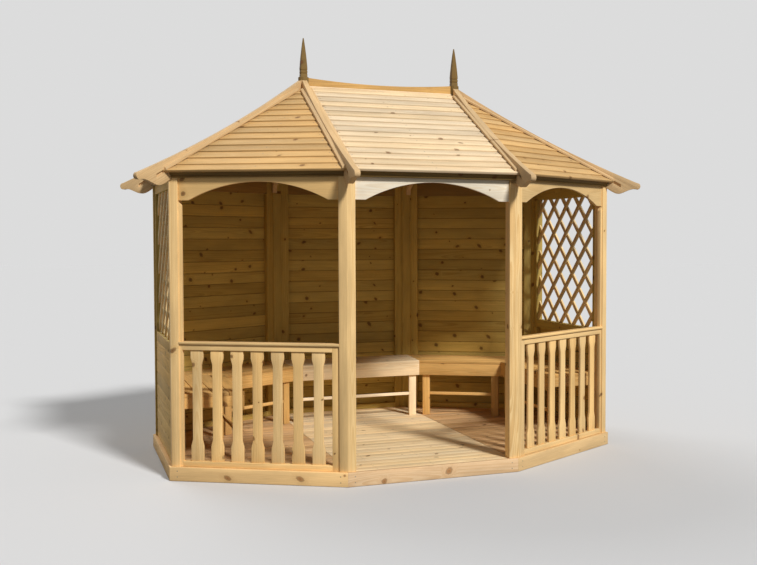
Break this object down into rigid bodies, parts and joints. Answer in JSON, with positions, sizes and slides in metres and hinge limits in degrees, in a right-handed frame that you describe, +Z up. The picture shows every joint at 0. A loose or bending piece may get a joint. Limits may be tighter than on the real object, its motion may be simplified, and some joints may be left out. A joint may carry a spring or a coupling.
{
  "type": "garden gazebo",
  "caption": "Open-fronted timber garden gazebo with built-in benches, arched openings, lattice sides and a two-peaked boarded roof.",
  "frame": {"origin": "on the ground at the middle of the plan, centre of the bounding box's bottom", "axes": "+X along the ridge, +Y towards the boarded back, so the open entry faces -Y; +Z up"},
  "size_m": [3.8316, 2.982, 3.17],
  "materials": {
    "frame_timber": "planed softwood, treated",
    "balustrade_timber": "planed softwood, treated",
    "wall_boards": "matched softwood boards, treated",
    "lattice_timber": "planed softwood laths and boards, treated",
    "bench_timber": "planed softwood, treated",
    "roof_boards": "lapped softwood boards, treated, sun-bleached",
    "roof_trim": "planed softwood, treated",
    "finial_timber": "planed softwood, treated",
    "deck_boards": "planed softwood boards, treated",
    "plinth_timber": "sawn softwood, treated"
  },
  "bodies": {
    "root": {"arch_board_front": "frame_timber", "arch_board_front_left": "frame_timber", "arch_board_front_right": "frame_timber", "balustrade_front_left": "balustrade_timber", "balustrade_front_right": "balustrade_timber", "bench_back": "bench_timber", "bench_back_left": "bench_timber", "bench_back_right": "bench_timber", "bench_left": "bench_timber", "bench_right": "bench_timber", "eaves_rails": "roof_trim", "finials": "finial_timber", "floor_deck": "deck_boards", "floor_joists": "plinth_timber", "hip_board_back_left": "roof_trim", "hip_board_back_right": "roof_trim", "hip_board_front_left": "roof_trim", "hip_board_front_right": "roof_trim", "hip_board_left_back": "roof_trim", "hip_board_left_front": "roof_trim", "hip_board_right_back": "roof_trim", "hip_board_right_front": "roof_trim", "lattice_side_left": "lattice_timber", "lattice_side_right": "lattice_timber", "plinth": "plinth_timber", "post_back_left": "frame_timber", "post_back_right": "frame_timber", "post_front_left": "frame_timber", "post_front_right": "frame_timber", "post_left_back": "frame_timber", "post_left_front": "frame_timber", "post_right_back": "frame_timber", "post_right_front": "frame_timber", "ridge_board": "roof_trim", "roof_back": "roof_boards", "roof_back_left": "roof_boards", "roof_back_right": "roof_boards", "roof_front": "roof_boards", "roof_front_left": "roof_boards", "roof_front_right": "roof_boards", "roof_left": "roof_boards", "roof_right": "roof_boards", "wall_back": "wall_boards", "wall_back_left": "wall_boards", "wall_back_right": "wall_boards"}
  },
  "joints": []
}
